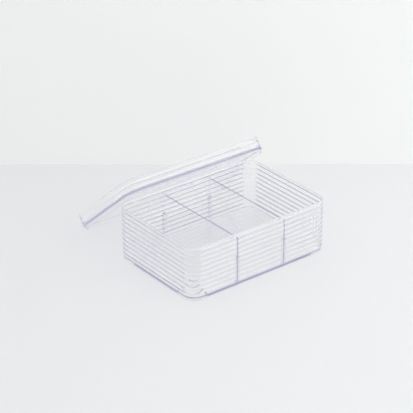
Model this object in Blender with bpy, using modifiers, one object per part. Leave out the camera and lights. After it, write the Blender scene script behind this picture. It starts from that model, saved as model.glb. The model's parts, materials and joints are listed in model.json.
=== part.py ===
"""Clear compartment organizer: a reeded box, two lift-out dividers and a tray-shaped lid.

Units are metres, +Z is up. X runs along the long side and Y from the front to the back.
Box and lid are each one moulding, drawn from one wall section: the section is spun round a
corner, run out along both walls to the middle, and mirrored twice. The lid leans on the back rim.
"""

import math

import bmesh
import bpy
from mathutils import Matrix, Vector

# Outline that the box and the lid share, over the crests of the ribs
BODY_LENGTH = 0.200
BODY_WIDTH = 0.140
CORNER_RADIUS = 0.015
WALL = 0.002

# Reeding, the same on the box and on the lid
RIB_PITCH = 0.006
RIB_DEPTH = 0.0007
RIB_STEPS = 4
CORNER_STEPS = 10
ARC_STEPS = 3

# Box
BOX_RIBS = 10
RIM_LAND = 0.003
RIM_ROUND = 0.0005
FOOT_HEIGHT = 0.003
FOOT_INSET = 0.0008
FOOT_WALL = 0.002
FLOOR_UNDERSIDE = 0.0025
FLOOR_THICKNESS = 0.0015
FLOOR_FILLET = 0.003

# Thick middle of the floor, a cross that leaves a shallow pocket under each corner
THICK_UNDERSIDE = 0.0005
POCKET_LENGTH = 0.024
POCKET_WIDTH = 0.029
POCKET_ROUND = 0.003

# Guide ribs in pairs, which hold the ends of the dividers
GUIDE_HEIGHT = 0.032
GUIDE_REACH = 0.0025
GUIDE_WIDTH = 0.0012
GUIDE_NOSE = 0.001
GUIDE_ROOT = 0.0005

# Dividers
DIVIDER_THICKNESS = 0.0016
DIVIDER_OFFSET = 0.034
DIVIDER_DROP = 0.006
DIVIDER_CORNER = 0.002

# Lid
LID_RIBS = 2
LID_LAND = 0.004
LID_EDGE_ROUND = 0.0004
LID_PLATE_THICKNESS = 0.002
LID_FILLET = 0.002
LIP_DEPTH = 0.0035
LIP_WALL = 0.0018
LIP_FIT = 0.0002

# How the lid leans: turned about X, moved along X, one lip on the back rim, one on the table
LID_TILT = math.radians(40.4)
LID_SHIFT = -0.0009
REST_GAP = 0.0003
TABLE_GAP = 0.0002

# Gap between pieces that slide or stand in one another, and the weld distance of the meshes
RUNNING_GAP = 0.0003
WELD = 0.00001

# Sizes that follow from those above
BOX_HEIGHT = FOOT_HEIGHT + BOX_RIBS * RIB_PITCH + RIM_LAND
FLOOR_TOP = FLOOR_UNDERSIDE + FLOOR_THICKNESS
INNER_WIDTH = BODY_WIDTH - 2 * WALL
DIVIDER_TOP = BOX_HEIGHT - DIVIDER_DROP
LID_HEIGHT = LID_LAND + LID_RIBS * RIB_PITCH
LIP_INSET = WALL + LIP_FIT

# Clear styrene: colour of the bulk, and a moulded gloss
CLEAR_COLOUR = (0.93, 0.93, 0.96, 1.0)
CLEAR_ROUGHNESS = 0.05
CLEAR_IOR = 1.59


def clear_scene():
    """Remove the objects that the scene starts with."""
    for item in list(bpy.data.objects):
        bpy.data.objects.remove(item, do_unlink=True)


def make_collection(name):
    """Add a collection to the scene."""
    group = bpy.data.collections.new(name)
    bpy.context.scene.collection.children.link(group)
    return group


def clear_styrene(name):
    """Clear moulded styrene with a faint violet cast."""
    material = bpy.data.materials.new(name)
    material.use_nodes = True
    shader = material.node_tree.nodes["Principled BSDF"]
    shader.inputs["Base Color"].default_value = CLEAR_COLOUR
    shader.inputs["Roughness"].default_value = CLEAR_ROUGHNESS
    shader.inputs["Metallic"].default_value = 0
    shader.inputs["IOR"].default_value = CLEAR_IOR
    shader.inputs["Transmission Weight"].default_value = 1
    return material


def arc(centre, radius, start, end, steps=ARC_STEPS):
    """Points of an arc in the plane of a section, from angle start to angle end in degrees."""
    turns = [math.radians(start + (end - start) * step / steps) for step in range(steps + 1)]
    return [(centre[0] + radius * math.cos(turn), centre[1] + radius * math.sin(turn)) for turn in turns]


def rib_points(base, first_share, last_share):
    """Points up a convex rib: its face stands at the outline at mid height and dips at its ends."""
    count = round((last_share - first_share) * RIB_STEPS)
    points = []
    for step in range(count + 1):
        share = first_share + step / RIB_STEPS
        points.append((RIB_DEPTH * (2 * share - 1) ** 2, base + share * RIB_PITCH))
    return points


def box_section():
    """Wall section of the box as (inset, height), out along the underside, up and back inside."""
    foot_inner = FOOT_INSET + FOOT_WALL
    rim_face = BOX_HEIGHT - RIM_ROUND
    points = [(CORNER_RADIUS, FLOOR_UNDERSIDE), (foot_inner, FLOOR_UNDERSIDE)]
    points += [(foot_inner, 0), (FOOT_INSET, 0), (FOOT_INSET, FOOT_HEIGHT)]
    for number in range(BOX_RIBS):
        points += rib_points(FOOT_HEIGHT + number * RIB_PITCH, 0, 1)[: -1]
    land = rib_points(BOX_HEIGHT - RIM_LAND, 0, 1 / 2)
    points += [point for point in land if point[1] < rim_face - WELD]
    points += arc((RIM_ROUND, rim_face), RIM_ROUND, 180, 90)
    points += arc((WALL - RIM_ROUND, rim_face), RIM_ROUND, 90, 0)
    fillet_middle = (WALL + FLOOR_FILLET, FLOOR_TOP + FLOOR_FILLET)
    points += arc(fillet_middle, FLOOR_FILLET, 180, 270)
    points.append((CORNER_RADIUS, FLOOR_TOP))
    return points


def lid_section():
    """Wall section of the lid as (inset, height), out along the underside, round the lip and up."""
    lip_inner = LIP_INSET + LIP_WALL
    rim_round = min(RIM_ROUND, (WALL - RIB_DEPTH) / 3)
    rim_face = LID_HEIGHT - rim_round
    points = [(CORNER_RADIUS, 0), (lip_inner, 0)]
    points += [(lip_inner, -LIP_DEPTH), (LIP_INSET, -LIP_DEPTH), (LIP_INSET, 0)]
    points += arc((LID_EDGE_ROUND, LID_EDGE_ROUND), LID_EDGE_ROUND, 270, 180)
    land = rib_points(LID_LAND - RIB_PITCH, 1 / 2, 1)
    points += [point for point in land if point[1] > LID_EDGE_ROUND + WELD][: -1]
    for number in range(LID_RIBS):
        points += rib_points(LID_LAND + number * RIB_PITCH, 0, 1)[: -1]
    points += arc((RIB_DEPTH + rim_round, rim_face), rim_round, 180, 90)
    points += arc((WALL - rim_round, rim_face), rim_round, 90, 0)
    fillet_middle = (WALL + LID_FILLET, LID_PLATE_THICKNESS + LID_FILLET)
    points += arc(fillet_middle, LID_FILLET, 180, 270)
    points.append((CORNER_RADIUS, LID_PLATE_THICKNESS))
    return points


def run_out(mesh, edges, move):
    """Extrude loose edges by one straight move and return the edges at the far end."""
    grown = bmesh.ops.extrude_edge_only(mesh, edges=edges)["geom"]
    bmesh.ops.translate(mesh, verts=[item for item in grown if isinstance(item, bmesh.types.BMVert)], vec=move)
    return [item for item in grown if isinstance(item, bmesh.types.BMEdge)]


def moulding(name, section, material, group):
    """A closed rounded-rectangle moulding from its wall section, as a quarter and two mirrors."""
    centre_x = BODY_LENGTH / 2 - CORNER_RADIUS
    centre_y = BODY_WIDTH / 2 - CORNER_RADIUS
    quarter = bmesh.new()
    verts = [quarter.verts.new((BODY_LENGTH / 2 - inset, centre_y, height)) for inset, height in section]
    wall_edges = [quarter.edges.new(pair) for pair in zip(verts, verts[1:])]
    spun = bmesh.ops.spin(
        quarter,
        geom=verts + wall_edges,
        cent=(centre_x, centre_y, 0),
        axis=(0, 0, 1),
        angle=math.radians(90),
        steps=CORNER_STEPS,
    )["geom_last"]
    far_edges = [item for item in spun if isinstance(item, bmesh.types.BMEdge)]
    run_out(quarter, far_edges, (-centre_x, 0, 0))
    run_out(quarter, wall_edges, (0, -centre_y, 0))
    bmesh.ops.remove_doubles(quarter, verts=quarter.verts, dist=WELD)
    for height in (section[0][1], section[-1][1]):
        plate_edge = [
            edge
            for edge in quarter.edges
            if all(abs(vert.co.x - centre_x) < WELD and abs(vert.co.z - height) < WELD for vert in edge.verts)
        ]
        run_out(quarter, plate_edge, (-centre_x, 0, 0))
    bmesh.ops.remove_doubles(quarter, verts=quarter.verts, dist=WELD)
    bmesh.ops.recalc_face_normals(quarter, faces=quarter.faces)
    outer = max(quarter.faces, key=lambda face: face.calc_center_median().x)
    if outer.normal.x < 0:
        bmesh.ops.reverse_faces(quarter, faces=quarter.faces)
    data = bpy.data.meshes.new(name)
    quarter.to_mesh(data)
    quarter.free()
    data.materials.append(material)
    data.shade_smooth()
    data.set_sharp_from_angle(angle=math.radians(50))
    shell = bpy.data.objects.new(name, data)
    group.objects.link(shell)
    mirror = shell.modifiers.new("mirror_halves", "MIRROR")
    mirror.use_axis = (True, True, False)
    mirror.merge_threshold = WELD
    return shell


def guide_rib(name, x_middle, side, group):
    """One upright rib on a long wall, rooted in wall and floor, with a rounded top corner."""
    height = GUIDE_HEIGHT + GUIDE_ROOT
    depth = GUIDE_REACH + GUIDE_ROOT
    wall_face = INNER_WIDTH / 2
    block = bmesh.new()
    bmesh.ops.create_cube(block, size=1, matrix=Matrix.Diagonal((GUIDE_WIDTH, depth, height, 1)))
    nose = [
        edge
        for edge in block.edges
        if all(vert.co.z > 0 and vert.co.y * side < 0 for vert in edge.verts)
    ]
    bmesh.ops.bevel(block, geom=nose, offset=GUIDE_NOSE, segments=ARC_STEPS, profile=1 / 2, affect="EDGES")
    data = bpy.data.meshes.new(name)
    block.to_mesh(data)
    block.free()
    rib = bpy.data.objects.new(name, data)
    rib.location = (
        x_middle,
        side * (wall_face + GUIDE_ROOT - depth / 2),
        FLOOR_TOP - GUIDE_ROOT + height / 2,
    )
    rib.hide_render = True
    rib.display_type = "WIRE"
    group.objects.link(rib)
    return rib


def thick_floor(name, group):
    """The thick middle of the floor, from just above the table to half way into the floor plate."""
    foot_middle = FOOT_INSET + FOOT_WALL / 2
    far_x = BODY_LENGTH / 2 - foot_middle
    far_y = BODY_WIDTH / 2 - foot_middle
    arm_x = BODY_LENGTH / 2 - POCKET_LENGTH
    arm_y = BODY_WIDTH / 2 - POCKET_WIDTH
    corner = [(far_x, arm_y), (arm_x, arm_y), (arm_x, far_y)]
    outline = corner + [(-x, y) for x, y in reversed(corner)]
    outline += [(-x, -y) for x, y in corner] + [(x, -y) for x, y in reversed(corner)]
    top = FLOOR_UNDERSIDE + FLOOR_THICKNESS / 2
    slab = bmesh.new()
    verts = [slab.verts.new((x, y, THICK_UNDERSIDE)) for x, y in outline]
    base = bmesh.ops.contextual_create(slab, geom=verts)["faces"]
    grown = bmesh.ops.extrude_face_region(slab, geom=base)["geom"]
    raised = [item for item in grown if isinstance(item, bmesh.types.BMVert)]
    bmesh.ops.translate(slab, verts=raised, vec=(0, 0, top - THICK_UNDERSIDE))
    inner = [
        edge
        for edge in slab.edges
        if all(abs(abs(vert.co.x) - arm_x) + abs(abs(vert.co.y) - arm_y) < WELD for vert in edge.verts)
    ]
    bmesh.ops.bevel(slab, geom=inner, offset=POCKET_ROUND, segments=ARC_STEPS, profile=1 / 2, affect="EDGES")
    bmesh.ops.recalc_face_normals(slab, faces=slab.faces)
    data = bpy.data.meshes.new(name)
    slab.to_mesh(data)
    slab.free()
    block = bpy.data.objects.new(name, data)
    block.hide_render = True
    block.display_type = "WIRE"
    group.objects.link(block)
    return block


def make_box(parts, tools):
    """The box with its guide ribs and the thick middle of its floor joined to it."""
    box = moulding("organizer_box", box_section(), clear_styrene("clear_box"), parts)
    slot_half = DIVIDER_THICKNESS / 2 + RUNNING_GAP
    joined = [thick_floor("floor_cross", tools)]
    for divider_x in (-DIVIDER_OFFSET, DIVIDER_OFFSET):
        for side in (-1, 1):
            for hand in (-1, 1):
                x_middle = divider_x + hand * (slot_half + GUIDE_WIDTH / 2)
                joined.append(guide_rib(f"guide_rib_{len(joined)}", x_middle, side, tools))
    join = box.modifiers.new("join_ribs_and_floor", "BOOLEAN")
    join.operation = "UNION"
    join.solver = "EXACT"
    join.operand_type = "COLLECTION"
    join.collection = tools
    return box, joined


def divider_outline():
    """Outline of a divider, clear of the floor fillets below and with rounded corners above."""
    half = INNER_WIDTH / 2 - RUNNING_GAP
    height = DIVIDER_TOP - FLOOR_TOP - RUNNING_GAP
    low_round = FLOOR_FILLET + RUNNING_GAP
    points = arc((half - low_round, low_round), low_round, -90, 0)
    points += arc((half - DIVIDER_CORNER, height - DIVIDER_CORNER), DIVIDER_CORNER, 0, 90)
    points += arc((DIVIDER_CORNER - half, height - DIVIDER_CORNER), DIVIDER_CORNER, 90, 180)
    points += arc((low_round - half, low_round), low_round, 180, 270)
    return points


def make_divider(name, x_middle, parts):
    """A flat cross divider, standing in its slots just above the floor."""
    curve = bpy.data.curves.new(name, "CURVE")
    curve.dimensions = "2D"
    curve.fill_mode = "BOTH"
    curve.extrude = DIVIDER_THICKNESS / 2
    outline = divider_outline()
    spline = curve.splines.new("POLY")
    spline.points.add(len(outline) - 1)
    for point, (across, up) in zip(spline.points, outline):
        point.co = (across, up, 0, 1)
    spline.use_cyclic_u = True
    curve.materials.append(clear_styrene(f"clear_{name}"))
    divider = bpy.data.objects.new(name, curve)
    divider.location = (x_middle, 0, FLOOR_TOP + RUNNING_GAP)
    divider.rotation_euler = (math.radians(90), 0, math.radians(90))
    parts.objects.link(divider)
    return divider


def lid_place():
    """Where the middle of the lid's skirt edge lies when one lip is on the back rim.

    The right lip meets the rim where its inner face crosses the rounded corner of the box, and
    the far lip stands on the table.
    """
    seat_gap = REST_GAP / math.cos(LID_TILT)
    lip_x = BODY_LENGTH / 2 + LID_SHIFT - LIP_INSET - LIP_WALL
    past_corner = max(lip_x - (BODY_LENGTH / 2 - CORNER_RADIUS), 0)
    corner_rise = math.sqrt(CORNER_RADIUS ** 2 - past_corner ** 2)
    contact_y = BODY_WIDTH / 2 - CORNER_RADIUS + corner_rise
    far_reach = BODY_WIDTH - LIP_INSET
    contact_reach = far_reach - (BOX_HEIGHT + seat_gap - TABLE_GAP) / math.sin(LID_TILT)
    near_y = contact_y - contact_reach * math.cos(LID_TILT) + LIP_DEPTH * math.sin(LID_TILT)
    near_z = TABLE_GAP + far_reach * math.sin(LID_TILT) + LIP_DEPTH * math.cos(LID_TILT)
    half_width = BODY_WIDTH / 2
    return Vector((
        LID_SHIFT,
        near_y + half_width * math.cos(LID_TILT),
        near_z - half_width * math.sin(LID_TILT),
    ))


def make_lid(parts):
    """The lid on an empty that holds its lean."""
    lean = bpy.data.objects.new("lid_lean", None)
    lean.location = lid_place()
    lean.rotation_euler = (-LID_TILT, 0, 0)
    parts.objects.link(lean)
    lid = moulding("lid", lid_section(), clear_styrene("clear_lid"), parts)
    lid.parent = lean
    return lean


def rest_on_frame(pieces, parts):
    """Carry everything on one empty, so that the frame's origin is under the middle of the bounds."""
    frame = bpy.data.objects.new("organizer_frame", None)
    parts.objects.link(frame)
    for piece in pieces:
        piece.parent = frame
    bpy.context.view_layer.update()
    graph = bpy.context.evaluated_depsgraph_get()
    corners = []
    for item in parts.objects:
        if item.type == "EMPTY":
            continue
        shape = item.evaluated_get(graph)
        mesh = shape.to_mesh()
        corners += [item.matrix_world @ vert.co for vert in mesh.vertices]
        shape.to_mesh_clear()
    middle_x = (min(point.x for point in corners) + max(point.x for point in corners)) / 2
    middle_y = (min(point.y for point in corners) + max(point.y for point in corners)) / 2
    frame.location = (-middle_x, -middle_y, 0)
    bpy.context.view_layer.update()


def main():
    clear_scene()
    parts = make_collection("compartment_organizer")
    tools = make_collection("cutters")
    box, joined = make_box(parts, tools)
    left = make_divider("divider_left", -DIVIDER_OFFSET, parts)
    right = make_divider("divider_right", DIVIDER_OFFSET, parts)
    lean = make_lid(parts)
    rest_on_frame([box, *joined, left, right, lean], parts)


main()
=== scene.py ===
"""Looks of the clear compartment organizer, for every pose of its lid and dividers.

The box, the dividers and the lid are drawn again from the sizes of the CAD part, with finer ribs
and rounded edges, so that the clear plastic bends light the way the moulded one does.
"""

import json
import math

import bmesh
import bpy
from bpy.props import FloatProperty, FloatVectorProperty, IntProperty, PointerProperty
from mathutils import Matrix, Vector

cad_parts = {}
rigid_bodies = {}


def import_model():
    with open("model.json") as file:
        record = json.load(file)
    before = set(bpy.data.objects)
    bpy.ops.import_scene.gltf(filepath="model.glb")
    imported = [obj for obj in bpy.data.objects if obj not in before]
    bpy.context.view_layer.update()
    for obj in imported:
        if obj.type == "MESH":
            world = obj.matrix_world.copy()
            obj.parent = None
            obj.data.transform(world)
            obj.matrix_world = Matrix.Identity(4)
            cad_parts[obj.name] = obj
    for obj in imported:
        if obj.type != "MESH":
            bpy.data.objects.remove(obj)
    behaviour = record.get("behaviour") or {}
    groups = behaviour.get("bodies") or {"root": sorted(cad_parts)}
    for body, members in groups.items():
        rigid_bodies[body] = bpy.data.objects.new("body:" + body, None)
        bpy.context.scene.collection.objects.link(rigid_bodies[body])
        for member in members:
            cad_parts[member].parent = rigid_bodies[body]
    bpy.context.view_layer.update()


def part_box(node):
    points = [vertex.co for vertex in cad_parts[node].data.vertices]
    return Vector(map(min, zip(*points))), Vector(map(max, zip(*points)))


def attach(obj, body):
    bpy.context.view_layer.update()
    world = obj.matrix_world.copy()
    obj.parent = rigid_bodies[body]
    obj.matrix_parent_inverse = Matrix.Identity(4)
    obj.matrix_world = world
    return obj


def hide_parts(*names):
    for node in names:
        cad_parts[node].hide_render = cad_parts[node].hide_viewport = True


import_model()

bl_info = {
    "name": "Compartment Organizer",
    "version": (1, 0, 0),
    "blender": (4, 5, 0),
    "location": "3D View > Sidebar > Organizer",
    "description": "Builds a clear reeded organizer with two dividers and a lid",
    "category": "Add Mesh",
}

# Steps of a rib, of a quarter turn round a corner, of a small rounding and of a divider's edge
RIB_STEPS = 14
CORNER_STEPS = 30
ARC_STEPS = 6
EDGE_STEPS = 3

# The points of a rib crowd towards its ends by this power
RIB_CROWDING = 0.8

# The rounded bottom of a valley between two ribs starts at this share of the way from the crest
ARCH_SHARE = 0.94

# Points closer than this, in metres, are one
WELD = 0.000004

# Shading stays smooth up to this angle between faces, and larger faces count for more in it
SMOOTH_UP_TO = math.radians(32)
AREA_WEIGHT = 100

# A bevel is round, and a divider's edges are broken where its faces meet at more than this angle
ROUND_PROFILE = 0.5
BROKEN_ABOVE = math.radians(50)

# Marks on the points of the mouldings, which the plastic's shader reads
RIBS_MARK = "ribs"
RIM_MARK = "rim"

# Strength of the mirror on the outer faces, times what Fresnel gives. On the box it stands for the
# wall's inner face too. Dividers and lid have less: at full strength the bright patch low in the
# room lies on the lid as a white streak.
BOX_GLOSS_SHARE = 1.4
DIVIDER_GLOSS_SHARE = 0.4
LID_GLOSS_SHARE = 0.5

# Share of the light turned back inside that leaks straight out
HAZE_SHARE = 0.1
LID_HAZE_SHARE = 0.3

# Share of satin white on the rims, a painted highlight along them
RIM_HIGHLIGHT_SHARE = 0.6

# From inside, light begins to be turned back at the first share of Fresnel, and all is at the second
TURNED_FROM_SHARE = 0.3
TURNED_FULL_SHARE = 0.95

# What shadow and diffuse rays keep of red, green and blue at each face
PASSING_SHARES = (0.98, 0.98, 0.982)

# The slow swell of a moulded face: 35 to a metre makes one 29 mm long, 0.2 mm high at full strength
SWELLS_PER_METRE = 35
SWELL_DETAIL = 1
SWELL_HEIGHT = 0.0002
SWELL_STRENGTH = 0.2

# Patches of finer and duller gloss: 120 to a metre makes one 8 mm across, with smaller ones in it.
# Real scuffs are finer, and are drawn this coarse so that they show. The noise between the two
# levels is spread over these two shares of the roughness.
GLOSS_PATCHES_PER_METRE = 120
GLOSS_PATCH_DETAIL = 4
GLOSS_NOISE_LEVELS = (0.35, 0.65)
GLOSS_ROUGHNESS_SHARES = (0.6, 1.5)

# Sizes in metres that aren't in the panel, down to the camera. First the rim and foot of the box.
RIM_LAND = 0.003
RIM_ROUND = 0.0006
FOOT_HEIGHT = 0.003
FOOT_INSET = 0.0008
FOOT_WALL = 0.002
FOOT_ROUND = 0.0003

# Floor, thick in the middle and thin over a pocket at each corner
FLOOR_UNDERSIDE = 0.0025
FLOOR_THICKNESS = 0.0015
THICK_UNDERSIDE = 0.0005
CORNER_POCKET_LENGTH = 0.024
CORNER_POCKET_WIDTH = 0.029
FLOOR_FILLET = 0.001

# Guide ribs and the dividers between them
GUIDE_HEIGHT = 0.032
GUIDE_REACH = 0.0025
GUIDE_WIDTH = 0.0012
GUIDE_NOSE = 0.001
GUIDE_ROOT = 0.0005
DIVIDER_CORNER = 0.002
DIVIDER_EDGE = 0.0003
RUNNING_GAP = 0.0003

# Lid, the lip under it and its tilt
LID_RIBS = 2
LID_LAND = 0.004
LID_EDGE_ROUND = 0.0004
LID_PLATE_THICKNESS = 0.002
LID_FILLET = 0.002
LIP_DEPTH = 0.0035
LIP_WALL = 0.0018
LIP_FIT = 0.0002
LIP_ROUND = 0.0003
LID_TILT = math.radians(40.4)

# Camera of the photograph, from the middle of the box on the table. Lens and sensor are in mm.
CAMERA_PLACE = (-1.02352, -1.27503, 0.91003)
CAMERA_YAW = math.radians(38.09)
CAMERA_PITCH = math.radians(27.46)
CAMERA_ROLL = math.radians(-0.13)
CAMERA_LENS = 139.94
CAMERA_SENSOR = 36.0
CAMERA_NEAREST = 0.05
CAMERA_FARTHEST = 50

# Table and backdrop, each as the first and last line of a sheet: (distance behind the foot of the
# backdrop, height). The backdrop stands behind the middle of the box, square to the camera's view.
TABLE_GAP = 0.0002
BACKDROP_DISTANCE = 0.2356
STAGE_HALF_WIDTH = 6
TABLE_PROFILE = ((-8, 0), (4, 0))
BACKDROP_PROFILE = ((0, 0), (0, 3))

# Matt paint from a roller: a grain of 2 mm, 0.05 mm high at full strength
PAINT_GRAIN = 0.002
PAINT_GRAIN_DETAIL = 3
PAINT_GRAIN_HEIGHT = 0.00005
PAINT_GRAIN_STRENGTH = 0.3
PAINT_ROUGHNESS = 0.9
PAINT_SPECULAR_LEVEL = 0.2

# Windows: name, compass angle and rise in degrees, width, height, distance, and if it is mirrored
WINDOWS = (
    ("window", 168, 30, 1.27, 1.78, 2.8, False),
    ("side_window", 114, 35, 0.65, 1.1, 1.8, True),
)

# The room is dark up to the first rise and as bright as the sky from the second
ROOM_DARK_BELOW = math.radians(12)
ROOM_BRIGHT_ABOVE = math.radians(32)

# A bright patch low in the room: where it stands, and how far from its middle it ends and is full
GLOW_COMPASS = math.radians(142)
GLOW_RISE = math.radians(7)
GLOW_REACH = math.radians(24)
GLOW_CORE = math.radians(8)

# A path of light goes on through this many clear faces, or through this many that only let it pass
CLEAR_BOUNCES = 96
PASSING_BOUNCES = 48


def linear(hex_code):
    """The linear colour of an sRGB hex code, by the standard's formula."""
    shares = [int(hex_code[place:place + 2], 16) / 255 for place in (1, 3, 5)]
    return [share / 12.92 if share <= 0.04045 else ((share + 0.055) / 1.055) ** 2.4 for share in shares]


def rgba(colour):
    """A colour with the alpha that a socket wants."""
    return (*colour, 1)


def heading(compass, rise):
    """The direction that lies at a compass angle from +Y towards +X, and rises from level."""
    level = math.cos(rise)
    return Vector((level * math.sin(compass), level * math.cos(compass), math.sin(rise)))


class OrganizerSizes(bpy.types.PropertyGroup):
    """Sizes of the box, its ribs and its dividers."""

    length: FloatProperty(
        name="Length", description="Long side of the box over the ribs", default=0.200, unit="LENGTH"
    )
    width: FloatProperty(
        name="Width", description="Short side of the box over the ribs", default=0.140, unit="LENGTH"
    )
    corner_radius: FloatProperty(
        name="Corner radius", description="Upright corners, outside", default=0.015, unit="LENGTH"
    )
    wall: FloatProperty(
        name="Wall", description="Wall thickness at a crest", default=0.002, unit="LENGTH"
    )
    rib_pitch: FloatProperty(
        name="Rib pitch", description="Height of one rib", default=0.006, unit="LENGTH"
    )
    rib_depth: FloatProperty(
        name="Rib depth", description="Depth of the valleys between ribs", default=0.00068, unit="LENGTH"
    )
    box_ribs: IntProperty(name="Box ribs", description="Whole ribs on the box", default=10, min=1)
    divider_thickness: FloatProperty(
        name="Divider thickness", description="Thickness of a divider", default=0.0016, unit="LENGTH"
    )
    divider_drop: FloatProperty(
        name="Divider drop", description="Rim height above the dividers", default=0.006, unit="LENGTH"
    )


class OrganizerFinish(bpy.types.PropertyGroup):
    """Colours and gloss of the clear plastic, with painted shade on light turned back inside and a painted
    highlight on the rims.
    """

    tint: FloatVectorProperty(
        name="Tint",
        description="Colour that light takes on each time it passes a surface",
        subtype="COLOR",
        default=linear("#FFFFFF"),
    )
    # Painted shade: each time a face turns light back inside, the light is darkened by this colour, which
    # draws dark lines along the edges
    smooth_painted_shade: FloatVectorProperty(
        name="Smooth tint",
        description="Colour that light takes on each time a smooth face turns it back inside",
        subtype="COLOR",
        default=linear("#F8F8FC"),
    )
    # Painted shade, deeper than on smooth faces: it draws the dark lines along the ribs
    rib_painted_shade: FloatVectorProperty(
        name="Rib tint",
        description="Colour that light takes on each time a rib turns it back inside",
        subtype="COLOR",
        default=linear("#E5E4E9"),
    )
    # Painted highlight: a satin white along the rims stands in for the light they catch
    rim_highlight_colour: FloatVectorProperty(
        name="Rim colour",
        description="Colour of the satin line that the mould leaves round the rims",
        subtype="COLOR",
        default=linear("#F6F6F8"),
    )
    haze: FloatVectorProperty(
        name="Haze",
        description="Colour of the little light that leaks out wherever it is turned back inside",
        subtype="COLOR",
        default=linear("#ECEAF6"),
    )
    depth_tint: FloatVectorProperty(
        name="Depth tint",
        description="Colour of long paths through the plastic",
        subtype="COLOR",
        default=linear("#A5A2C4"),
    )
    depth_density: FloatProperty(
        name="Depth density", description="How fast the plastic darkens, per metre", default=7, min=0
    )
    roughness: FloatProperty(
        name="Roughness", description="Roughness of the moulded gloss", default=0.02, min=0, max=1
    )
    ior: FloatProperty(name="IOR", description="Index of refraction", default=1.57, min=1, max=2)


class OrganizerStage(bpy.types.PropertyGroup):
    """Colours and lights of the pale studio."""

    floor: FloatVectorProperty(
        name="Floor", description="Colour of the table", subtype="COLOR", default=linear("#E7E8EA")
    )
    backdrop: FloatVectorProperty(
        name="Backdrop", description="Colour of the wall behind", subtype="COLOR", default=linear("#FCFDFC")
    )
    sky: FloatProperty(name="Sky", description="Strength of the soft light from above", default=0.88, min=0)
    dark: FloatProperty(
        name="Low room", description="Strength of the room near the level of the eye", default=0.25, min=0
    )
    glow: FloatProperty(
        name="Glow", description="Strength of the bright patch low in the room", default=3.2
    )
    lamp: FloatProperty(name="Lamp", description="Power of the window", default=22, unit="POWER", min=0)
    side_lamp: FloatProperty(
        name="Side lamp", description="Power of the window at the right", default=7, unit="POWER", min=0
    )


def add_node(tree, kind, values=None, links=None, **settings):
    """Add one shader node with its settings, socket values and incoming links."""
    node = tree.nodes.new(kind)
    for name, value in settings.items():
        setattr(node, name, value)
    for socket, value in (values or {}).items():
        node.inputs[socket].default_value = value
    for socket, source in (links or {}).items():
        tree.links.new(source, node.inputs[socket])
    return node


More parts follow.
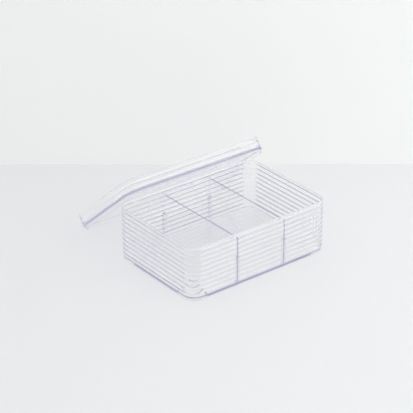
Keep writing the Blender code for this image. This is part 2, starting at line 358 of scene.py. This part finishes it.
def moulded_styrene(name, finish, gloss_share, haze_share):
    """Clear styrene, injection moulded: glossy and water clear, with a violet cast along long paths.

    The melt leaves a slow swell as it freezes, and use leaves the gloss a little uneven. A satin white
    round the rims is a painted highlight along them. Clear styrenes have an IOR of 1.57 to 1.59. Outer
    faces refract and mirror by Fresnel. Inner faces refract or turn light back, and each turn darkens the
    light a little, more on ribs than on smooth faces: painted shade that draws dark lines along the ribs
    and edges. A piece without marks counts as smooth, with no painted rim highlight.
    """
    material = bpy.data.materials.new(name)
    material.use_nodes = True
    tree = material.node_tree
    tree.nodes.clear()
    place = add_node(tree, "ShaderNodeTexCoord")
    swell = add_node(
        tree,
        "ShaderNodeTexNoise",
        {"Scale": SWELLS_PER_METRE, "Detail": SWELL_DETAIL},
        {"Vector": place.outputs["Object"]},
    )
    bump = add_node(
        tree,
        "ShaderNodeBump",
        {"Strength": SWELL_STRENGTH, "Distance": SWELL_HEIGHT},
        {"Height": swell.outputs["Fac"]},
    )
    wear = add_node(
        tree,
        "ShaderNodeTexNoise",
        {"Scale": GLOSS_PATCHES_PER_METRE, "Detail": GLOSS_PATCH_DETAIL},
        {"Vector": place.outputs["Object"]},
    )
    rough = add_node(
        tree,
        "ShaderNodeMapRange",
        {
            "From Min": GLOSS_NOISE_LEVELS[0],
            "From Max": GLOSS_NOISE_LEVELS[1],
            "To Min": GLOSS_ROUGHNESS_SHARES[0] * finish.roughness,
            "To Max": GLOSS_ROUGHNESS_SHARES[1] * finish.roughness,
        },
        {"Value": wear.outputs["Fac"]},
    )
    surface = {"Roughness": rough.outputs["Result"], "Normal": bump.outputs["Normal"]}
    bent = add_node(
        tree,
        "ShaderNodeBsdfRefraction",
        {"Color": rgba(finish.tint), "IOR": finish.ior},
        surface,
        distribution="GGX",
    )
    gloss = add_node(
        tree, "ShaderNodeBsdfAnisotropic", {"Color": (1, 1, 1, 1)}, surface, distribution="GGX"
    )
    share = add_node(tree, "ShaderNodeFresnel", {"IOR": finish.ior}, {"Normal": bump.outputs["Normal"]})
    outer_share = add_node(
        tree,
        "ShaderNodeMath",
        {1: gloss_share},
        {0: share.outputs[0]},
        operation="MULTIPLY",
        use_clamp=True,
    )
    plain_outer = add_node(
        tree,
        "ShaderNodeMixShader",
        links={0: outer_share.outputs[0], 1: bent.outputs[0], 2: gloss.outputs[0]},
    )
    rim = add_node(tree, "ShaderNodeAttribute", attribute_name=RIM_MARK)
    # Painted highlight: satin white mixed in along the rims
    rim_highlight_amount = add_node(
        tree, "ShaderNodeMath", {1: RIM_HIGHLIGHT_SHARE}, {0: rim.outputs["Fac"]}, operation="MULTIPLY"
    )
    painted_rim_highlight = add_node(tree, "ShaderNodeBsdfDiffuse", {"Color": rgba(finish.rim_highlight_colour)})
    outer = add_node(
        tree,
        "ShaderNodeMixShader",
        links={0: rim_highlight_amount.outputs[0], 1: plain_outer.outputs[0], 2: painted_rim_highlight.outputs[0]},
    )
    # Painted shade: light turned back inside is darkened a little each time, more where the ribs mark lies
    smooth_turned_shaded, rib_turned_shaded = [
        add_node(tree, "ShaderNodeBsdfAnisotropic", {"Color": rgba(colour)}, surface, distribution="GGX")
        for colour in (finish.smooth_painted_shade, finish.rib_painted_shade)
    ]
    ribs = add_node(tree, "ShaderNodeAttribute", attribute_name=RIBS_MARK)
    turned = add_node(
        tree,
        "ShaderNodeMixShader",
        links={0: ribs.outputs["Fac"], 1: smooth_turned_shaded.outputs[0], 2: rib_turned_shaded.outputs[0]},
    )
    haze = add_node(tree, "ShaderNodeBsdfTransparent", {"Color": rgba(finish.haze)})
    guided = add_node(
        tree, "ShaderNodeMixShader", {0: haze_share}, {1: turned.outputs[0], 2: haze.outputs[0]}
    )
    inner_share = add_node(
        tree,
        "ShaderNodeMapRange",
        {"From Min": TURNED_FROM_SHARE, "From Max": TURNED_FULL_SHARE},
        {"Value": share.outputs[0]},
        interpolation_type="SMOOTHSTEP",
    )
    inner = add_node(
        tree,
        "ShaderNodeMixShader",
        links={0: inner_share.outputs["Result"], 1: bent.outputs[0], 2: guided.outputs[0]},
    )
    side = add_node(tree, "ShaderNodeNewGeometry")
    shader = add_node(
        tree,
        "ShaderNodeMixShader",
        links={0: side.outputs["Backfacing"], 1: outer.outputs[0], 2: inner.outputs[0]},
    )
    depth = add_node(
        tree,
        "ShaderNodeVolumeAbsorption",
        {"Color": rgba(finish.depth_tint), "Density": finish.depth_density},
    )
    # Shadow and diffuse rays pass straight on, so that light falls through the box onto the table
    ray = add_node(tree, "ShaderNodeLightPath")
    light_ray = add_node(
        tree,
        "ShaderNodeMath",
        links={0: ray.outputs["Is Shadow Ray"], 1: ray.outputs["Is Diffuse Ray"]},
        operation="MAXIMUM",
    )
    passing = add_node(tree, "ShaderNodeBsdfTransparent", {"Color": rgba(PASSING_SHARES)})
    mix = add_node(
        tree,
        "ShaderNodeMixShader",
        links={0: light_ray.outputs[0], 1: shader.outputs[0], 2: passing.outputs[0]},
    )
    add_node(
        tree, "ShaderNodeOutputMaterial", links={"Surface": mix.outputs[0], "Volume": depth.outputs[0]}
    )
    return material


def arc(centre, radius, start, end):
    """Points of an arc in the plane of a section, from angle start to angle end in degrees."""
    turns = [math.radians(start + (end - start) * step / ARC_STEPS) for step in range(ARC_STEPS + 1)]
    return [(centre[0] + radius * math.cos(turn), centre[1] + radius * math.sin(turn)) for turn in turns]


def rib_inset(share, depth):
    """How far the face lies behind the crest at a share of the pitch: an arch with a rounded valley."""
    reach = abs(2 * share - 1)
    if reach <= ARCH_SHARE:
        return depth * reach ** 2
    past = reach - ARCH_SHARE
    return depth * (ARCH_SHARE ** 2 + 2 * ARCH_SHARE * (past - past ** 2 / (2 * (1 - ARCH_SHARE))))


def rib_points(sizes, base, last_share=1):
    """Points up a convex rib, closer together near its ends where the valleys turn."""
    points = []
    for step in range(round(last_share * RIB_STEPS) + 1):
        to_middle = 1 - 2 * step / RIB_STEPS
        share = 0.5 - 0.5 * math.copysign(abs(to_middle) ** RIB_CROWDING, to_middle)
        points.append((rib_inset(share, sizes.rib_depth), base + share * sizes.rib_pitch))
    return points


def box_height(sizes):
    """Height of the box from its foot to its rim."""
    return FOOT_HEIGHT + sizes.box_ribs * sizes.rib_pitch + RIM_LAND


def box_section(sizes):
    """Wall section of the box as (inset, height), out along the underside, up and back inside."""
    foot_inner = FOOT_INSET + FOOT_WALL
    height = box_height(sizes)
    rim_face = height - RIM_ROUND
    floor_top = FLOOR_UNDERSIDE + FLOOR_THICKNESS
    points = [(sizes.corner_radius, FLOOR_UNDERSIDE), (foot_inner, FLOOR_UNDERSIDE)]
    points += arc((foot_inner - FOOT_ROUND, FOOT_ROUND), FOOT_ROUND, 0, -90)
    points += arc((FOOT_INSET + FOOT_ROUND, FOOT_ROUND), FOOT_ROUND, 270, 180)
    points.append((FOOT_INSET, FOOT_HEIGHT))
    for number in range(sizes.box_ribs):
        points += rib_points(sizes, FOOT_HEIGHT + number * sizes.rib_pitch)[:-1]
    land = rib_points(sizes, height - RIM_LAND, last_share=1 / 2)
    points += [point for point in land if point[1] < rim_face - WELD]
    points += arc((RIM_ROUND, rim_face), RIM_ROUND, 180, 90)
    points += arc((sizes.wall - RIM_ROUND, rim_face), RIM_ROUND, 90, 0)
    points += arc((sizes.wall + FLOOR_FILLET, floor_top + FLOOR_FILLET), FLOOR_FILLET, 180, 270)
    points.append((sizes.corner_radius, floor_top))
    return points


def lid_section(sizes):
    """Wall section of the lid as (inset, height), out below, round the lip, up the ribs and back inside."""
    height = LID_LAND + LID_RIBS * sizes.rib_pitch
    rim_face = height - RIM_ROUND
    lip_outer = sizes.wall + LIP_FIT
    lip_inner = lip_outer + LIP_WALL
    points = [(sizes.corner_radius, 0), (lip_inner, 0)]
    points += arc((lip_inner - LIP_ROUND, LIP_ROUND - LIP_DEPTH), LIP_ROUND, 0, -90)
    points += arc((lip_outer + LIP_ROUND, LIP_ROUND - LIP_DEPTH), LIP_ROUND, 270, 180)
    points.append((lip_outer, 0))
    points += arc((LID_EDGE_ROUND, LID_EDGE_ROUND), LID_EDGE_ROUND, 270, 180)
    land = rib_points(sizes, LID_LAND - sizes.rib_pitch)
    points += [point for point in land if point[1] > LID_EDGE_ROUND + WELD][:-1]
    for number in range(LID_RIBS):
        points += rib_points(sizes, LID_LAND + number * sizes.rib_pitch)[:-1]
    points = [point for point in points if point[1] < rim_face - WELD]
    points += arc((sizes.rib_depth + RIM_ROUND, rim_face), RIM_ROUND, 180, 90)
    points += arc((sizes.wall - RIM_ROUND, rim_face), RIM_ROUND, 90, 0)
    fillet_height = LID_PLATE_THICKNESS + LID_FILLET
    points += arc((sizes.wall + LID_FILLET, fillet_height), LID_FILLET, 180, 270)
    points.append((sizes.corner_radius, LID_PLATE_THICKNESS))
    return points


def object_from(name, mesh):
    """A new object with a bmesh as its data. The bmesh is freed."""
    data = bpy.data.meshes.new(name)
    mesh.to_mesh(data)
    mesh.free()
    return bpy.data.objects.new(name, data)


def run_out(mesh, edges, move):
    """Extrude loose edges by one straight move."""
    grown = bmesh.ops.extrude_edge_only(mesh, edges=edges)["geom"]
    verts = [item for item in grown if isinstance(item, bmesh.types.BMVert)]
    bmesh.ops.translate(mesh, verts=verts, vec=move)


def stands_at(vert, x, height):
    """If a point stands at a place along the box and at a height."""
    return abs(vert.co.x - x) < WELD and abs(vert.co.z - height) < WELD


def marked_section(mesh, sizes, section, foot_top):
    """Draw the wall section at the end of the straight side, and mark its ribs and its rim."""
    # A new layer ends what Python holds of the mesh, so both come first and are then looked up
    mesh.verts.layers.float.new(RIBS_MARK)
    mesh.verts.layers.float.new(RIM_MARK)
    ribs = mesh.verts.layers.float[RIBS_MARK]
    rim = mesh.verts.layers.float[RIM_MARK]
    end = sizes.width / 2 - sizes.corner_radius
    rim_face = max(height for _, height in section) - RIM_ROUND
    verts = [mesh.verts.new((sizes.length / 2 - inset, end, height)) for inset, height in section]
    for vert, (inset, height) in zip(verts, section):
        vert[ribs] = float(inset <= sizes.rib_depth and foot_top <= height <= rim_face)
        vert[rim] = float(height > rim_face + WELD)
    return verts


def moulding(name, sizes, section, foot_top):
    """A closed rounded-rectangle moulding from its wall section, as a quarter and two mirrors."""
    centre_x = sizes.length / 2 - sizes.corner_radius
    centre_y = sizes.width / 2 - sizes.corner_radius
    quarter = bmesh.new()
    verts = marked_section(quarter, sizes, section, foot_top)
    wall_edges = [quarter.edges.new(pair) for pair in zip(verts, verts[1:])]
    spun = bmesh.ops.spin(
        quarter,
        geom=verts + wall_edges,
        cent=(centre_x, centre_y, 0),
        axis=(0, 0, 1),
        angle=math.radians(90),
        steps=CORNER_STEPS,
    )["geom_last"]
    run_out(quarter, [item for item in spun if isinstance(item, bmesh.types.BMEdge)], (-centre_x, 0, 0))
    run_out(quarter, wall_edges, (0, -centre_y, 0))
    bmesh.ops.remove_doubles(quarter, verts=quarter.verts, dist=WELD)
    for height in (section[0][1], section[-1][1]):
        plate_edge = [
            edge for edge in quarter.edges if all(stands_at(vert, centre_x, height) for vert in edge.verts)
        ]
        run_out(quarter, plate_edge, (-centre_x, 0, 0))
    bmesh.ops.remove_doubles(quarter, verts=quarter.verts, dist=WELD)
    bmesh.ops.recalc_face_normals(quarter, faces=quarter.faces)
    outer = max(quarter.faces, key=lambda face: face.calc_center_median().x)
    if outer.normal.x < 0:
        bmesh.ops.reverse_faces(quarter, faces=quarter.faces)
    shell = object_from(name, quarter)
    bpy.context.scene.collection.objects.link(shell)
    mirror = shell.modifiers.new("halves", "MIRROR")
    mirror.use_axis = (True, True, False)
    mirror.merge_threshold = WELD
    return shell


def settle(piece, node, material):
    """Apply the modifiers, smooth the faces and move the mesh onto the middle of its CAD node."""
    bpy.context.view_layer.update()
    graph = bpy.context.evaluated_depsgraph_get()
    data = bpy.data.meshes.new_from_object(piece.evaluated_get(graph))
    piece.modifiers.clear()
    piece.data = data
    data.transform(piece.matrix_world)
    piece.matrix_world = Matrix.Identity(4)
    points = [vert.co for vert in data.vertices]
    low = Vector([min(point[axis] for point in points) for axis in range(3)])
    high = Vector([max(point[axis] for point in points) for axis in range(3)])
    node_low, node_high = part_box(node)
    data.transform(Matrix.Translation((node_low + node_high - low - high) / 2))
    data.materials.clear()
    data.materials.append(material)
    data.shade_smooth()
    data.set_sharp_from_angle(angle=SMOOTH_UP_TO)
    true_faces = piece.modifiers.new("true_faces", "WEIGHTED_NORMAL")
    true_faces.mode = "FACE_AREA"
    true_faces.weight = AREA_WEIGHT
    true_faces.keep_sharp = True
    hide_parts(node)


def guide_rib(x_middle, side, sizes):
    """One upright rib on a long wall, rooted in wall and floor, with a rounded top corner."""
    height = GUIDE_HEIGHT + GUIDE_ROOT
    depth = GUIDE_REACH + GUIDE_ROOT
    block = bmesh.new()
    bmesh.ops.create_cube(block, size=1, matrix=Matrix.Diagonal((GUIDE_WIDTH, depth, height, 1)))
    nose = [
        edge for edge in block.edges if all(vert.co.z > 0 and vert.co.y * side < 0 for vert in edge.verts)
    ]
    bmesh.ops.bevel(
        block, geom=nose, offset=GUIDE_NOSE, segments=ARC_STEPS, profile=ROUND_PROFILE, affect="EDGES"
    )
    rib = object_from("guide", block)
    floor_top = FLOOR_UNDERSIDE + FLOOR_THICKNESS
    rib.location = (
        x_middle,
        side * (sizes.width / 2 - sizes.wall + GUIDE_ROOT - depth / 2),
        floor_top - GUIDE_ROOT + height / 2,
    )
    return rib


def thick_floor(size):
    """One stretch of the thick middle of the floor, up to half way into the thin floor above it."""
    top = FLOOR_UNDERSIDE + FLOOR_THICKNESS / 2
    height = top - THICK_UNDERSIDE
    block = bmesh.new()
    bmesh.ops.create_cube(block, size=1, matrix=Matrix.Diagonal((*size, height, 1)))
    slab = object_from("thick_floor", block)
    slab.location = (0, 0, top - height / 2)
    return slab


def divider_places():
    """Middle of each divider along the box, measured from the middle of the box."""
    box_low, box_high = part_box("organizer_box")
    middle = (box_low.x + box_high.x) / 2
    corners = [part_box(node) for node in ("divider_left", "divider_right")]
    return [(low.x + high.x) / 2 - middle for low, high in corners]


def inner_features(sizes):
    """What is joined to the box's shell: a guide rib each side of a divider's ends, and the thick floor."""
    features = bpy.data.collections.new("guides")
    slot_half = sizes.divider_thickness / 2 + RUNNING_GAP
    to_rib = slot_half + GUIDE_WIDTH / 2
    for divider_x in divider_places():
        for side in (-1, 1):
            for hand in (-1, 1):
                features.objects.link(guide_rib(divider_x + hand * to_rib, side, sizes))
    in_foot = 2 * FOOT_INSET + FOOT_WALL
    for size in (
        (sizes.length - 2 * CORNER_POCKET_LENGTH, sizes.width - in_foot),
        (sizes.length - in_foot, sizes.width - 2 * CORNER_POCKET_WIDTH),
    ):
        features.objects.link(thick_floor(size))
    return features


class ORGANIZER_OT_box(bpy.types.Operator):
    """Build the reeded box with its guide ribs"""

    bl_idname = "organizer.box"
    bl_label = "Reeded Box"

    def execute(self, context):
        sizes = context.scene.organizer_sizes
        finish = context.scene.organizer_finish
        material = moulded_styrene("clear styrene, moulded box", finish, BOX_GLOSS_SHARE, HAZE_SHARE)
        shell = moulding("box_moulding", sizes, box_section(sizes), FOOT_HEIGHT)
        features = inner_features(sizes)
        context.scene.collection.children.link(features)
        join = shell.modifiers.new("guides", "BOOLEAN")
        join.operation = "UNION"
        join.solver = "EXACT"
        join.operand_type = "COLLECTION"
        join.collection = features
        settle(shell, "organizer_box", material)
        for feature in list(features.objects):
            bpy.data.objects.remove(feature)
        bpy.data.collections.remove(features)
        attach(shell, "box")
        return {"FINISHED"}


def divider_plate(name, sizes):
    """A flat plate with rounded corners and softly broken edges, standing across the box."""
    half = sizes.width / 2 - sizes.wall - RUNNING_GAP
    floor_top = FLOOR_UNDERSIDE + FLOOR_THICKNESS
    height = box_height(sizes) - sizes.divider_drop - floor_top - RUNNING_GAP
    low_round = FLOOR_FILLET + RUNNING_GAP
    outline = arc((half - low_round, low_round), low_round, -90, 0)
    outline += arc((half - DIVIDER_CORNER, height - DIVIDER_CORNER), DIVIDER_CORNER, 0, 90)
    outline += arc((DIVIDER_CORNER - half, height - DIVIDER_CORNER), DIVIDER_CORNER, 90, 180)
    outline += arc((low_round - half, low_round), low_round, 180, 270)
    plate = bmesh.new()
    thickness = sizes.divider_thickness
    verts = [plate.verts.new((-thickness / 2, across, up)) for across, up in outline]
    face = plate.faces.new(verts)
    grown = bmesh.ops.extrude_face_region(plate, geom=[face])["geom"]
    far_verts = [item for item in grown if isinstance(item, bmesh.types.BMVert)]
    bmesh.ops.translate(plate, verts=far_verts, vec=(thickness, 0, 0))
    bmesh.ops.recalc_face_normals(plate, faces=plate.faces)
    divider = object_from(name, plate)
    bpy.context.scene.collection.objects.link(divider)
    edge = divider.modifiers.new("broken_edges", "BEVEL")
    edge.width = DIVIDER_EDGE
    edge.segments = EDGE_STEPS
    edge.limit_method = "ANGLE"
    edge.angle_limit = BROKEN_ABOVE
    return divider


class ORGANIZER_OT_dividers(bpy.types.Operator):
    """Build the two cross dividers"""

    bl_idname = "organizer.dividers"
    bl_label = "Dividers"

    def execute(self, context):
        sizes = context.scene.organizer_sizes
        finish = context.scene.organizer_finish
        material = moulded_styrene(
            "clear styrene, moulded divider", finish, DIVIDER_GLOSS_SHARE, HAZE_SHARE
        )
        for side in ("left", "right"):
            plate = divider_plate(f"divider_plate_{side}", sizes)
            settle(plate, f"divider_{side}", material)
            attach(plate, f"{side}_divider")
        return {"FINISHED"}


class ORGANIZER_OT_lid(bpy.types.Operator):
    """Build the lid, leaning as the CAD has it"""

    bl_idname = "organizer.lid"
    bl_label = "Lid"

    def execute(self, context):
        sizes = context.scene.organizer_sizes
        finish = context.scene.organizer_finish
        material = moulded_styrene("clear styrene, moulded lid", finish, LID_GLOSS_SHARE, LID_HAZE_SHARE)
        lid = moulding("lid_moulding", sizes, lid_section(sizes), LID_PLATE_THICKNESS)
        lid.rotation_euler = (-LID_TILT, 0, 0)
        settle(lid, "lid", material)
        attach(lid, "lid")
        return {"FINISHED"}


def painted(name, colour):
    """Matt white paint, rolled on: a flat pale colour with a grain that hardly shows."""
    material = bpy.data.materials.new(name)
    material.use_nodes = True
    tree = material.node_tree
    shader = tree.nodes["Principled BSDF"]
    place = add_node(tree, "ShaderNodeTexCoord")
    noise = add_node(
        tree,
        "ShaderNodeTexNoise",
        {"Scale": 1 / PAINT_GRAIN, "Detail": PAINT_GRAIN_DETAIL},
        {"Vector": place.outputs["Object"]},
    )
    bump = add_node(
        tree,
        "ShaderNodeBump",
        {"Strength": PAINT_GRAIN_STRENGTH, "Distance": PAINT_GRAIN_HEIGHT},
        {"Height": noise.outputs["Fac"]},
    )
    shader.inputs["Base Color"].default_value = rgba(colour)
    shader.inputs["Roughness"].default_value = PAINT_ROUGHNESS
    shader.inputs["Specular IOR Level"].default_value = PAINT_SPECULAR_LEVEL
    tree.links.new(bump.outputs["Normal"], shader.inputs["Normal"])
    return material


def see_through_from_behind(material):
    """Let the back of the backdrop vanish, so that it hides nothing from other sides."""
    tree = material.node_tree
    output = tree.nodes["Material Output"]
    shader = tree.nodes["Principled BSDF"]
    side = add_node(tree, "ShaderNodeNewGeometry")
    clear = add_node(tree, "ShaderNodeBsdfTransparent")
    mix = add_node(
        tree,
        "ShaderNodeMixShader",
        links={0: side.outputs["Backfacing"], 1: shader.outputs[0], 2: clear.outputs[0]},
    )
    tree.links.new(mix.outputs[0], output.inputs["Surface"])


def place_camera(scene, under):
    """Set up the camera of the photograph, from the point under the middle of the box."""
    data = bpy.data.cameras.new("camera")
    data.lens = CAMERA_LENS
    data.sensor_width = CAMERA_SENSOR
    data.clip_start = CAMERA_NEAREST
    data.clip_end = CAMERA_FARTHEST
    camera = bpy.data.objects.new("camera", data)
    camera.matrix_world = (
        Matrix.Translation(under + Vector(CAMERA_PLACE))
        @ Matrix.Rotation(-CAMERA_YAW, 4, "Z")
        @ Matrix.Rotation(math.radians(90) - CAMERA_PITCH, 4, "X")
        @ Matrix.Rotation(CAMERA_ROLL, 4, "Z")
    )
    scene.collection.objects.link(camera)
    scene.camera = camera


def stage_sheet(name, profile, material, under):
    """The table or the backdrop: one flat sheet between two lines across the camera's view."""
    view = heading(CAMERA_YAW, 0)
    across = Vector((view.y, -view.x, 0))
    foot = under + Vector((0, 0, -TABLE_GAP)) + view * BACKDROP_DISTANCE
    sheet = bmesh.new()
    first, last = [
        [
            sheet.verts.new(foot + view * back + across * side + Vector((0, 0, up)))
            for side in (-STAGE_HALF_WIDTH, STAGE_HALF_WIDTH)
        ]
        for back, up in profile
    ]
    sheet.faces.new((first[0], first[1], last[1], last[0]))
    piece = object_from(name, sheet)
    piece.data.materials.append(material)
    return piece


def window_lamp(window, power, under):
    """One window, as a soft rectangular lamp that faces the box."""
    name, compass, rise, width, height, distance, mirrored = window
    data = bpy.data.lights.new(name, "AREA")
    data.shape = "RECTANGLE"
    data.size = width
    data.size_y = height
    data.energy = power
    lamp = bpy.data.objects.new(name, data)
    towards = heading(math.radians(compass), math.radians(rise))
    lamp.location = under + towards * distance
    lamp.rotation_euler = towards.to_track_quat("Z", "Y").to_euler()
    lamp.visible_glossy = mirrored
    lamp.visible_transmission = mirrored
    return lamp


def soft_room(stage):
    """The room as a world: pale above, darker near the level of the eye, with the bright patch low down."""
    world = bpy.data.worlds.new("soft studio")
    world.use_nodes = True
    tree = world.node_tree
    tree.nodes.clear()
    place = add_node(tree, "ShaderNodeTexCoord")
    rise = add_node(tree, "ShaderNodeSeparateXYZ", links={0: place.outputs["Generated"]})
    room = add_node(
        tree,
        "ShaderNodeMapRange",
        {
            "From Min": math.sin(ROOM_DARK_BELOW),
            "From Max": math.sin(ROOM_BRIGHT_ABOVE),
            "To Min": stage.dark,
            "To Max": stage.sky,
        },
        {"Value": rise.outputs["Z"]},
        interpolation_type="SMOOTHSTEP",
    )
    facing = add_node(
        tree,
        "ShaderNodeVectorMath",
        {1: heading(GLOW_COMPASS, GLOW_RISE)},
        {0: place.outputs["Generated"]},
        operation="DOT_PRODUCT",
    )
    glow = add_node(
        tree,
        "ShaderNodeMapRange",
        {
            "From Min": math.cos(GLOW_REACH),
            "From Max": math.cos(GLOW_CORE),
            "To Min": 0,
            "To Max": stage.glow,
        },
        {"Value": facing.outputs["Value"]},
        interpolation_type="SMOOTHSTEP",
    )
    level = add_node(
        tree, "ShaderNodeMath", links={0: room.outputs[0], 1: glow.outputs[0]}, operation="ADD"
    )
    sky = add_node(
        tree, "ShaderNodeBackground", {"Color": (1, 1, 1, 1)}, {"Strength": level.outputs[0]}
    )
    add_node(tree, "ShaderNodeOutputWorld", links={"Surface": sky.outputs[0]})
    return world


class ORGANIZER_OT_stage(bpy.types.Operator):
    """Build the table, the backdrop, the lights and the camera"""

    bl_idname = "organizer.stage"
    bl_label = "Stage"

    def execute(self, context):
        scene = context.scene
        stage = scene.organizer_stage
        box_low, box_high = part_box("organizer_box")
        middle = (box_low + box_high) / 2
        under = Vector((middle.x, middle.y, box_low.z))
        place_camera(scene, under)

        table_paint = painted("matt white paint, table", stage.floor)
        backdrop_paint = painted("matt white paint, backdrop", stage.backdrop)
        see_through_from_behind(backdrop_paint)
        for name, profile, paint in (
            ("table", TABLE_PROFILE, table_paint),
            ("backdrop", BACKDROP_PROFILE, backdrop_paint),
        ):
            piece = stage_sheet(name, profile, paint, under)
            scene.collection.objects.link(piece)

        for window, power in zip(WINDOWS, (stage.lamp, stage.side_lamp)):
            scene.collection.objects.link(window_lamp(window, power, under))
        scene.world = soft_room(stage)
        scene.view_settings.view_transform = "Standard"
        scene.cycles.max_bounces = CLEAR_BOUNCES
        scene.cycles.transmission_bounces = CLEAR_BOUNCES
        scene.cycles.glossy_bounces = CLEAR_BOUNCES
        scene.cycles.transparent_max_bounces = PASSING_BOUNCES
        scene.cycles.caustics_reflective = False
        scene.cycles.caustics_refractive = False
        return {"FINISHED"}


class ORGANIZER_PT_panel(bpy.types.Panel):
    """Sizes, finish and building buttons"""

    bl_label = "Compartment Organizer"
    bl_space_type = "VIEW_3D"
    bl_region_type = "UI"
    bl_category = "Organizer"

    def draw(self, context):
        layout = self.layout
        for group in ("organizer_sizes", "organizer_finish", "organizer_stage"):
            settings = getattr(context.scene, group)
            box = layout.box()
            for name in settings.__annotations__:
                box.prop(settings, name)
        for operator in OPERATORS:
            layout.operator(operator.bl_idname)


OPERATORS = (ORGANIZER_OT_box, ORGANIZER_OT_dividers, ORGANIZER_OT_lid, ORGANIZER_OT_stage)
CLASSES = (OrganizerSizes, OrganizerFinish, OrganizerStage, *OPERATORS, ORGANIZER_PT_panel)


def register():
    """Register the classes and hang the settings on the scene."""
    for item in CLASSES:
        bpy.utils.register_class(item)
    bpy.types.Scene.organizer_sizes = PointerProperty(type=OrganizerSizes)
    bpy.types.Scene.organizer_finish = PointerProperty(type=OrganizerFinish)
    bpy.types.Scene.organizer_stage = PointerProperty(type=OrganizerStage)


def unregister():
    """Take the settings and the classes away again."""
    del bpy.types.Scene.organizer_stage
    del bpy.types.Scene.organizer_finish
    del bpy.types.Scene.organizer_sizes
    for item in reversed(CLASSES):
        bpy.utils.unregister_class(item)


def main():
    """Build everything."""
    register()
    bpy.ops.organizer.box()
    bpy.ops.organizer.dividers()
    bpy.ops.organizer.lid()
    bpy.ops.organizer.stage()


if __name__ == "__main__":
    main()
